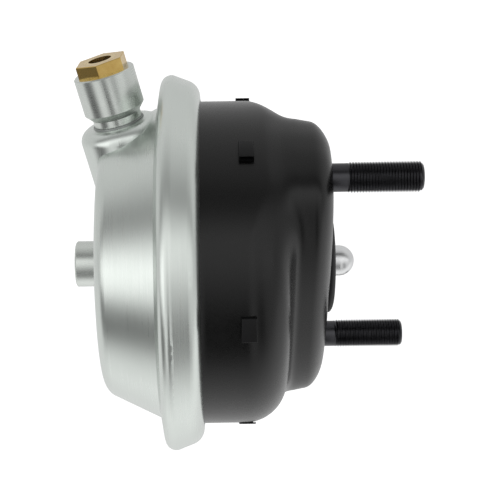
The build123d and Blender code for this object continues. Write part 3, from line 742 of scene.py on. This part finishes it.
@dataclass
class PaintedHousing:
    """Pressed housing: round barrel, soft shoulder, and the broad drafted land under the studs.

    A spun shell is the start. Its front is then drawn along rays from a point inside until it
    lies on the pressing's form, the outside on the form itself and the inside one wall deeper.
    """

    barrel: float = BARREL_RADIUS
    wall: float = 3.8
    opening: float = 20.0
    end_wall_x: float = -22.5
    shoulder: float = 22.65
    land_half_length: float = 70.5
    land_half_width: float = 28.6
    land_squareness: float = 2.8
    land_edge: float = 10.0
    land_draft: float = 5.3
    land_foot: float = 6.0
    stud_line: float = STUD_LINE
    middle_x: float = -50.0
    barrel_back_x: float = -64.0
    bend_x: float = -69.6
    tip_x: float = -76.2
    tip_radius: float = 96.2
    ray_from: float = 25.0
    ray_to: float = 90.0
    rays: int = 130
    inner_rays: int = 40
    steps: int = 240
    far: float = 140.0
    near: float = 10.0
    halvings: int = 18
    smoothings: int = 6
    valley_reach: float = 9.0
    valley_back: float = -40.0
    smooth_share: float = 0.5
    least_slope: float = 1e-6
    bend_half: float = 1.0
    bend_rise: float = 1.0
    tip_back: float = 2.9
    tip_drop: float = 2.2
    inner_bend_back: float = 1.9
    inner_bend_rise: float = 0.6
    inner_bend_front: float = 0.4

    @staticmethod
    def rounded_corner(first: float, second: float, radius: float) -> float:
        """Measure the signed distance to a corner of two walls with an outer rounding.

        Args:
            first: Distance past the first wall's rounding centre.
            second: Distance past the second wall's rounding centre.
            radius: Radius of the rounding.

        Returns:
            Millimetres, negative inside the walls.
        """
        outside = math.hypot(max(first, 0.0), max(second, 0.0))
        return outside + min(max(first, second), 0.0) - radius

    def barrel_form(self, x: float, radius: float) -> float:
        """Return the distance from the round body at an X and a radius."""
        past_wall = x - self.end_wall_x + self.shoulder
        return self.rounded_corner(past_wall, radius - self.barrel + self.shoulder, self.shoulder)

    def land_form(self, x: float, y: float, z: float) -> float:
        """Measure the distance from the land, whose flat face is a squared ellipse along the studs.

        Args:
            x: Place along the rod's axis in millimetres.
            y: Place towards the back.
            z: Place upwards.

        Returns:
            Millimetres, negative inside the land.
        """
        turn = math.radians(self.stud_line)
        power = self.land_squareness
        along = abs(z * math.cos(turn) - y * math.sin(turn)) / self.land_half_length
        across = abs(y * math.cos(turn) + z * math.sin(turn)) / self.land_half_width
        slope = power * math.hypot(along ** (power - 1) / self.land_half_length,
                                   across ** (power - 1) / self.land_half_width)
        past_flat = (along ** power + across ** power - 1) / max(slope, self.least_slope)
        drafted = past_flat + x * math.tan(math.radians(self.land_draft))
        return self.rounded_corner(x + self.land_edge, drafted, self.land_edge)

    def form(self, place: Vector) -> float:
        """Measure the signed distance from the pressing's outside.

        Args:
            place: A point in millimetres.

        Returns:
            Millimetres, negative inside the pressing.
        """
        radius = math.hypot(place.y, place.z)
        body = self.barrel_form(place.x, radius)
        land = self.land_form(place.x, place.y, place.z)
        fillet = math.hypot(max(self.land_foot - body, 0.0), max(self.land_foot - land, 0.0))
        return max(max(self.land_foot, min(body, land)) - fillet, radius - self.barrel)

    def profile(self) -> list[tuple[float, float]]:
        """Draw the closed start profile, its free points far out or close in on their rays.

        Returns:
            Points of X and radius.
        """
        fans = []
        for count, reach in ((self.rays, self.far), (self.inner_rays, self.near)):
            spread = (self.ray_to - self.ray_from) / (count - 1)
            ways = [math.radians(self.ray_from + step * spread) for step in range(count)]
            fans.append([(self.middle_x + reach * math.cos(a), reach * math.sin(a)) for a in ways])
        outside, inside = fans
        inner = self.barrel - self.wall
        flare = [
            (self.barrel_back_x, self.barrel), (self.bend_x + self.bend_half, self.barrel),
            (self.bend_x - self.bend_half, self.barrel + self.bend_rise), (self.tip_x, self.tip_radius),
            (self.tip_x - self.tip_back, self.tip_radius - self.tip_drop),
            (self.bend_x - self.inner_bend_back, inner + self.inner_bend_rise),
            (self.bend_x - self.inner_bend_front, inner), (self.barrel_back_x, inner),
        ]
        opening = [(-self.wall, self.opening), (0, self.opening)]
        return opening + outside + flare + inside[::-1]

    def draw_to_form(self, mesh: bmesh.types.BMesh) -> None:
        """Move the free points along their rays to the outside or the inside of the form.

        Args:
            mesh: The spun start shape.
        """
        middle = Vector((self.middle_x, 0, 0))
        for vert in mesh.verts:
            ray = vert.co / MM - middle
            reach = ray.length
            if 2 * self.near < reach < self.far - self.near:
                continue
            level = 0.0 if reach > self.near * 2 else -self.wall
            ray.normalize()
            low, high = self.near, self.far
            for _ in range(self.halvings):
                half = (low + high) / 2
                if self.form(middle + ray * half) > level:
                    high = half
                else:
                    low = half
            vert.co = (middle + ray * low) * MM

    def soften(self, mesh: bmesh.types.BMesh) -> None:
        """Even out the valley where the land meets the round body.

        Args:
            mesh: The shell after it was drawn to its form.
        """
        valley = []
        for vert in mesh.verts:
            place = vert.co / MM
            body = self.barrel_form(place.x, math.hypot(place.y, place.z))
            land = self.land_form(place.x, place.y, place.z)
            outside = self.form(place) > -self.wall / 2 and place.x > self.valley_back
            if outside and max(abs(body), abs(land)) < self.valley_reach:
                valley.append(vert)
        for _ in range(self.smoothings):
            bmesh.ops.smooth_vert(mesh, verts=valley, factor=self.smooth_share, use_axis_x=True,
                                  use_axis_y=True, use_axis_z=True)

    def build(self, wardrobe: Wardrobe) -> None:
        """Press the housing and put it in the place of the plainer one.

        Args:
            wardrobe: Gives the finish.
        """
        mesh = turned(self.profile(), self.steps)
        self.draw_to_form(mesh)
        self.soften(mesh)
        housing = new_piece("painted_housing", mesh, smooth_angle=80.0)
        wardrobe.dress(housing, DIP_PAINT)
        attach(housing, Body.CHAMBER.value)
        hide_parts("flange_housing")


@dataclass
class DrainGrommet:
    """Low open drain plug in the lowest of the housing's vent holes, with a dished middle."""

    x: float = VENT_X
    barrel: float = BARREL_RADIUS
    angle: float = 150.0
    flange: float = 4.6
    rise: float = 0.8
    stem: float = 3.0
    drain: float = 1.6
    barb: float = 3.5
    stem_depth: float = 5.9
    barb_height: float = 1.6
    flange_sunk: float = 0.1
    edge_drop: float = 0.3
    edge_inset: float = 0.4
    dish: float = 0.5
    steps: int = 48

    def build(self, wardrobe: Wardrobe) -> None:
        """Turn the plug and seat it in its hole.

        Args:
            wardrobe: Gives the finish.
        """
        inner = self.barrel - self.stem_depth
        outside = self.barrel + self.rise
        barb_top = inner + self.barb_height
        mesh = lathed([
            (self.drain, inner), (self.stem, inner), (self.barb, barb_top), (self.stem, barb_top),
            (self.stem, self.barrel), (self.flange, self.barrel - self.flange_sunk),
            (self.flange, outside - self.edge_drop), (self.flange - self.edge_inset, outside),
            (self.stem, outside), (self.drain, outside - self.dish),
        ], self.steps)
        place = Matrix.Rotation(math.radians(self.angle), 4, "X") @ Matrix.Translation((self.x * MM, 0, 0))
        bmesh.ops.transform(mesh, matrix=place, verts=mesh.verts)
        plug = new_piece("drain_grommet", mesh)
        wardrobe.dress(plug, MOULDED_POLYAMIDE)
        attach(plug, Body.CHAMBER.value)
        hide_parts("vent_cap_3")


@dataclass
class VentCaps:
    """Hooded caps in the other vent holes: a low back, a soft edge and an open mouth."""

    x: float = VENT_X
    barrel: float = BARREL_RADIUS
    first_angle: float = 30.0
    step_angle: float = 60.0
    numbers: tuple[int, ...] = (1, 2, 4, 5, 6)
    width: float = 7.6
    back: float = 7.2
    front: float = -4.9
    sunk: float = 0.4
    height: float = 3.6
    back_height: float = 1.7
    edge: float = 0.8
    rim: float = 0.8
    mouth_depth: float = 4.0
    mouth_inset: float = 0.05
    side_reach: float = 0.1
    edge_segments: int = 3

    def hood(self) -> bmesh.types.BMesh:
        """Shape one hood over the Z axis, its mouth towards minus Y.

        Returns:
            The hood in metres.
        """
        mesh = bmesh.new()
        bmesh.ops.create_cube(mesh, size=2.0)
        for vert in mesh.verts:
            at_back = vert.co.y > 0
            top = self.barrel + (self.back_height if at_back else self.height)
            vert.co = Vector((
                self.x + vert.co.x * self.width / 2, self.back if at_back else self.front,
                top if vert.co.z > 0 else self.barrel - self.sunk,
            )) * MM
        mesh.normal_update()
        mouth = min(mesh.faces, key=lambda face: face.normal.y)
        bmesh.ops.inset_individual(mesh, faces=[mouth], thickness=self.rim * MM, depth=0.0)
        bmesh.ops.inset_individual(mesh, faces=[mouth], thickness=self.mouth_inset * MM,
                                   depth=-self.mouth_depth * MM)
        shoulder = (self.barrel + self.back_height / 2) * MM
        side = (self.width / 2 - self.side_reach) * MM
        top_edges = [edge for edge in mesh.edges
                     if all(vert.co.z > shoulder for vert in edge.verts)
                     and any(abs(vert.co.x - self.x * MM) > side for vert in edge.verts)]
        bmesh.ops.bevel(mesh, geom=top_edges, offset=self.edge * MM, segments=self.edge_segments,
                        profile=0.5, affect="EDGES", material=-1, clamp_overlap=True)
        return mesh

    def build(self, wardrobe: Wardrobe) -> None:
        """Put a hood in the place of each plainer cap.

        Args:
            wardrobe: Gives the finish.
        """
        for number in self.numbers:
            mesh = self.hood()
            angle = math.radians(self.first_angle + (number - 1) * self.step_angle)
            bmesh.ops.transform(mesh, matrix=Matrix.Rotation(angle, 4, "X"), verts=mesh.verts)
            cap = new_piece(f"hooded_cap_{number}", mesh, smooth_angle=50.0)
            wardrobe.dress(cap, MOULDED_POLYAMIDE)
            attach(cap, Body.CHAMBER.value)
            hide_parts(f"vent_cap_{number}")


@dataclass
class UnionHex:
    """Brass union with crisp hex edges, its spigot in the boss and the stepped bore for the tube.

    The hex is spun as a ring at two mark radii outside it, and its flats are then drawn in.
    """

    foot: tuple[float, float, float] = BOSS_FOOT
    lean: float = BOSS_LEAN
    seat: float = 27.8
    height: float = 6.5
    apothem: float = 12.0
    turn: float = -3.3
    chamfer: float = 0.35
    thread: float = 10.0
    spigot: float = 14.0
    tube_stop: float = 4.5
    tube_bore: float = 6.1
    tube_depth: float = 13.0
    collet_bore: float = 8.65
    collet_room: float = 7.3
    steps: int = 72
    flats: int = 6
    hex_mark: float = 30.0
    mark_step: float = 1.0

    def hex_radius(self, angle: float) -> float:
        """Work out the hexagon's radius.

        Args:
            angle: Radians from one of its corners.

        Returns:
            Millimetres.
        """
        sector = FULL_TURN / self.flats
        from_flat = (angle % sector) - sector / 2
        return self.apothem / math.cos(from_flat)

    def build(self, wardrobe: Wardrobe) -> None:
        """Turn the union, mill its six flats and screw it into the boss.

        Args:
            wardrobe: Gives the finish.
        """
        top = self.seat + self.height
        low = self.seat - self.spigot
        room = top - self.collet_room
        rim_mark = self.hex_mark + self.mark_step
        mesh = lathed([
            (self.collet_bore, top), (self.hex_mark, top), (rim_mark, top - self.chamfer),
            (rim_mark, self.seat), (self.thread, self.seat), (self.thread, low),
            (self.tube_stop, low), (self.tube_stop, top - self.tube_depth),
            (self.tube_bore, top - self.tube_depth), (self.tube_bore, room), (self.collet_bore, room),
        ], self.steps)
        for vert in mesh.verts:
            radius = math.hypot(vert.co.x, vert.co.y) / MM
            if radius > self.hex_mark - self.mark_step / 2:
                angle = math.atan2(vert.co.x, -vert.co.y)
                on_top = radius < rim_mark - self.mark_step / 2
                wanted = self.hex_radius(angle) - (self.chamfer if on_top else 0.0)
                vert.co.x *= wanted / radius
                vert.co.y *= wanted / radius
        leaning = Matrix.Rotation(math.radians(-self.lean), 4, "Y")
        turned_hex = Matrix.Rotation(math.radians(self.turn), 4, "Z")
        place = Matrix.Translation(Vector(self.foot) * MM) @ leaning @ turned_hex
        bmesh.ops.transform(mesh, matrix=place, verts=mesh.verts)
        union = new_piece("brass_union", mesh, smooth_angle=25.0)
        wardrobe.dress(union, MACHINED_BRASS)
        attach(union, Body.CHAMBER.value)
        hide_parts("union_body")


@dataclass
class RigidParts:
    """CAD nodes whose shape is right as it is, and the finish of each."""

    finishes: dict[str, Finish] = field(default_factory=lambda: {
        "pressure_cover": SATIN_ZINC,
        "centre_stub": TURNED_ZINC,
        "port_boss": TURNED_ZINC,
        "union_collet": TURNED_BRASS,
        "union_tube_seal": MOULDED_RUBBER,
        "union_o_ring": MOULDED_RUBBER,
        "stud_plate": PRESSED_STEEL,
        "bellows_retainer": PRESSED_STEEL,
        "bellows_clamp": PRESSED_STEEL,
        "spring_seat": PRESSED_STEEL,
        "push_plate": PRESSED_STEEL,
        "push_rod": POLISHED_ROD,
    })

    def dress(self, wardrobe: Wardrobe, frame: dict) -> None:
        """Give each node its finish.

        Args:
            wardrobe: Gives the finishes.
        """
        for name, finish in self.finishes.items():
            wardrobe.dress(frame["nodes"][name], finish)
            LOG.info("dressed %s in %s", name, finish.name)


Stops = Sequence[tuple[float, float]]


@dataclass
class LightTent:
    """Light from all round, by the angle about the rod's axis: 0 is level in front, 90 is overhead.

    The tent's open front, the dark slot in its middle, its left side and the dark gap further left
    have a ramp each, and the way to the side says which of them is seen. Its ends are plain.
    """

    strength: float = 2.0
    half_turn: float = 180.0
    roof: Stops = ((38, 1.25), (48, 0.8), (58, 0.34), (70, 0.3), (79, 0.5), (90, 0.64), (112, 0.78),
                   (140, 0.76), (160, 0.7), (180, 0.75))
    ground: Stops = ((-180, 0.75), (-120, 0.95), (-92, 1.15), (-78, 1.12), (-60, 0.88))
    slot: Stops = ((-50, 0.42), (-41, 0.14), (-34, 0.03), (-18, 0.03), (-8, 0.3), (2, 0.55), (12, 0.8),
                   (20, 1.0), (30, 1.05))
    front: Stops = ((-50, 0.75), (-38, 0.95), (-22, 1.0), (-6, 0.9), (8, 1.0), (20, 1.2), (30, 1.25))
    left: Stops = ((-180, 0.75), (-120, 0.95), (-78, 0.95), (-66, 0.75), (-56, 0.35), (-49, 0.1),
                   (-34, 0.1), (-27, 0.35), (-19, 0.95), (-10, 1.45), (10, 1.7), (30, 1.5), (43, 1.0),
                   (52, 0.62), (64, 0.36), (75, 0.36), (86, 0.52), (98, 0.72), (115, 0.8),
                   (140, 0.74), (180, 0.75))
    far_left: Stops = ((-180, 0.75), (-120, 0.9), (-92, 0.95), (-78, 0.6), (-68, 0.2), (-40, 0.1),
                       (-30, 0.16), (-20, 0.8), (-8, 1.4), (12, 1.6), (30, 1.35), (42, 0.85),
                       (54, 0.4), (68, 0.22), (82, 0.4), (98, 0.7), (140, 0.74), (180, 0.75))
    left_share: Stops = ((-0.68, 1.0), (-0.5, 0.0))
    far_left_share: Stops = ((-0.97, 0.0), (-0.92, 1.0), (-0.76, 1.0), (-0.68, 0.0))
    slot_share: Stops = ((-0.2, 0.0), (-0.12, 1.0), (0.12, 1.0), (0.2, 0.0), (0.35, 0.0),
                         (0.5, 0.8), (0.64, 0.8), (0.74, 0.2))
    end_level: float = 0.72
    end_from: float = 0.95
    end_to: float = 0.985

    def ramp(self, tree: bpy.types.NodeTree, value: bpy.types.NodeSocket, stops: Stops, span: float,
             top: float) -> bpy.types.NodeSocket:
        """Add a grey ramp over a value that runs from minus to plus its span.

        Args:
            tree: The world's node tree.
            value: What the ramp reads.
            stops: Places on the value's own scale, with their levels.
            span: Greatest value.
            top: The level that shows as white.

        Returns:
            The ramp's colour.
        """
        share = add(tree, "ShaderNodeMapRange", {
            "Value": value, "From Min": -span, "From Max": span, "To Min": 0.0, "To Max": 1.0,
        })
        ramp = add(tree, "ShaderNodeValToRGB", {"Fac": share.outputs[0]})
        elements = ramp.color_ramp.elements
        # A new stop starts in the middle, and gets its own place below.
        while len(elements) < len(stops):
            elements.new(0.5)
        for element, (place, level) in zip(elements, stops):
            element.position = (place + span) / (2 * span)
            grey = level / top
            element.color = (grey, grey, grey, 1)
        return ramp.outputs[0]

    def build(self) -> None:
        """Make the world and hang it in the scene."""
        world = bpy.data.worlds.new("light_tent")
        world.use_nodes = True
        tree = world.node_tree
        tree.nodes.clear()
        way = add(tree, "ShaderNodeTexCoord").outputs["Generated"]
        parts = add(tree, "ShaderNodeSeparateXYZ", {0: way})
        towards = add(tree, "ShaderNodeMath", {0: parts.outputs["Y"], 1: -1.0}, operation="MULTIPLY")
        arc = add(tree, "ShaderNodeMath", {
            0: parts.outputs["Z"], 1: towards.outputs[0],
        }, operation="ARCTAN2")
        angle = add(tree, "ShaderNodeMath", {0: arc.outputs[0]}, operation="DEGREES").outputs[0]
        open_front, dark_slot, left_wall, left_gap = (
            self.ramp(tree, angle, stops, self.half_turn, self.strength) for stops in (
                (*self.ground, *self.front, *self.roof), (*self.ground, *self.slot, *self.roof),
                self.left, self.far_left,
            )
        )
        at_slot = self.ramp(tree, parts.outputs["X"], self.slot_share, 1, 1)
        at_left = self.ramp(tree, parts.outputs["X"], self.left_share, 1, 1)
        at_gap = self.ramp(tree, parts.outputs["X"], self.far_left_share, 1, 1)
        sideways = add(tree, "ShaderNodeMath", {0: parts.outputs["X"]}, operation="ABSOLUTE")
        at_end = add(tree, "ShaderNodeMapRange", {
            "Value": sideways.outputs[0], "From Min": self.end_from, "From Max": self.end_to,
            "To Min": 0.0, "To Max": 1.0,
        }).outputs[0]
        end = self.end_level / self.strength
        tent = open_front
        for share, panel in ((at_slot, dark_slot), (at_left, left_wall), (at_gap, left_gap),
                             (at_end, (end, end, end, 1))):
            mix = add(tree, "ShaderNodeMix", {"Factor": share, MIX_A: tent, MIX_B: panel}, data_type="RGBA")
            tent = mix.outputs[MIX_RESULT]
        light = add(tree, "ShaderNodeBackground", {"Color": tent, "Strength": self.strength})
        white = add(tree, "ShaderNodeBackground", {"Color": (1, 1, 1, 1), "Strength": 1.0})
        path = add(tree, "ShaderNodeLightPath")
        seen = add(tree, "ShaderNodeMixShader", {
            0: path.outputs["Is Camera Ray"], 1: light.outputs[0], 2: white.outputs[0],
        })
        add(tree, "ShaderNodeOutputWorld", {"Surface": seen.outputs[0]})
        bpy.context.scene.world = world


@dataclass
class Studio:
    """White sweep, the light tent and the camera of the photograph."""

    camera_x: float = -57.7
    camera_distance: float = 670.0
    elevation: float = 22.5
    roll: float = 0.8
    lens: float = 87.6
    sensor: float = 36.0
    shift_x: float = 0.06
    shift_y: float = 0.024
    floor_z: float = -0.24
    floor_size: float = 8.0
    paper_glow: float = 0.45

    def camera(self) -> None:
        """Place the camera on the near side, looking down at the rod's axis."""
        data = bpy.data.cameras.new("studio_camera")
        data.lens = self.lens
        data.sensor_width = self.sensor
        data.shift_x = self.shift_x
        data.shift_y = self.shift_y
        camera = bpy.data.objects.new("studio_camera", data)
        up = math.radians(self.elevation)
        back = Vector((0, -math.cos(up), math.sin(up)))
        camera.location = Vector((self.camera_x, 0, 0)) * MM + back * self.camera_distance * MM
        look = (-back).to_track_quat("-Z", "Y").to_matrix().to_4x4()
        turned_look = look @ Matrix.Rotation(math.radians(-self.roll), 4, "Z")
        camera.rotation_euler = turned_look.to_euler()
        bpy.context.scene.collection.objects.link(camera)
        bpy.context.scene.camera = camera

    def floor(self) -> None:
        """Lay a wide white floor below the chamber, out of the metal's reflections."""
        mesh = bmesh.new()
        bmesh.ops.create_grid(mesh, x_segments=2, y_segments=2, size=self.floor_size / 2)
        bmesh.ops.translate(mesh, verts=mesh.verts, vec=(0, 0, self.floor_z))
        sweep = new_piece("floor", mesh)
        material = bpy.data.materials.new("white_paper")
        material.use_nodes = True
        tree = material.node_tree
        tree.nodes.clear()
        paper = add(tree, "ShaderNodeBsdfDiffuse", {"Color": linear("ffffff")})
        glow = add(tree, "ShaderNodeEmission", {"Color": linear("ffffff"), "Strength": self.paper_glow})
        both = add(tree, "ShaderNodeAddShader", {0: paper.outputs[0], 1: glow.outputs[0]})
        add(tree, "ShaderNodeOutputMaterial", {"Surface": both.outputs[0]})
        sweep.data.materials.append(material)
        sweep.visible_glossy = False

    def build(self) -> None:
        """Set up camera, floor, light and the plain view transform."""
        bpy.context.scene.view_settings.view_transform = "Standard"
        self.camera()
        self.floor()
        LightTent().build()


def report(step: str, work: Callable[[], None]) -> None:
    """Run one step of the build and say so in the log.

    Args:
        step: What is built.
        work: Builds it.
    """
    work()
    LOG.info("%s done", step)


def main() -> None:
    """Build the dressed chamber around the frame, then its studio."""
    logging.basicConfig(level=logging.INFO, format="%(name)s: %(message)s")
    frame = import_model()
    wardrobe = Wardrobe()
    rubber = InnerRubber()
    report("rigid parts", lambda: RigidParts().dress(wardrobe, frame))
    report("painted housing", lambda: PaintedHousing().build(wardrobe))
    report("drain grommet", lambda: DrainGrommet().build(wardrobe))
    report("vent caps", lambda: VentCaps().build(wardrobe))
    report("brass union", lambda: UnionHex().build(wardrobe))
    report("mounting studs", lambda: MountingStuds().build(wardrobe))
    report("face seal", lambda: FaceSeal().build(wardrobe))
    report("pleated boot", lambda: rubber.boot(wardrobe))
    report("diaphragm", lambda: rubber.disc(wardrobe, frame))
    report("return spring", lambda: ReturnSpring().build(wardrobe, frame))
    report("welds", lambda: Welds().build(wardrobe))
    report("studio", lambda: Studio().build())


if __name__ == "__main__":
    main()
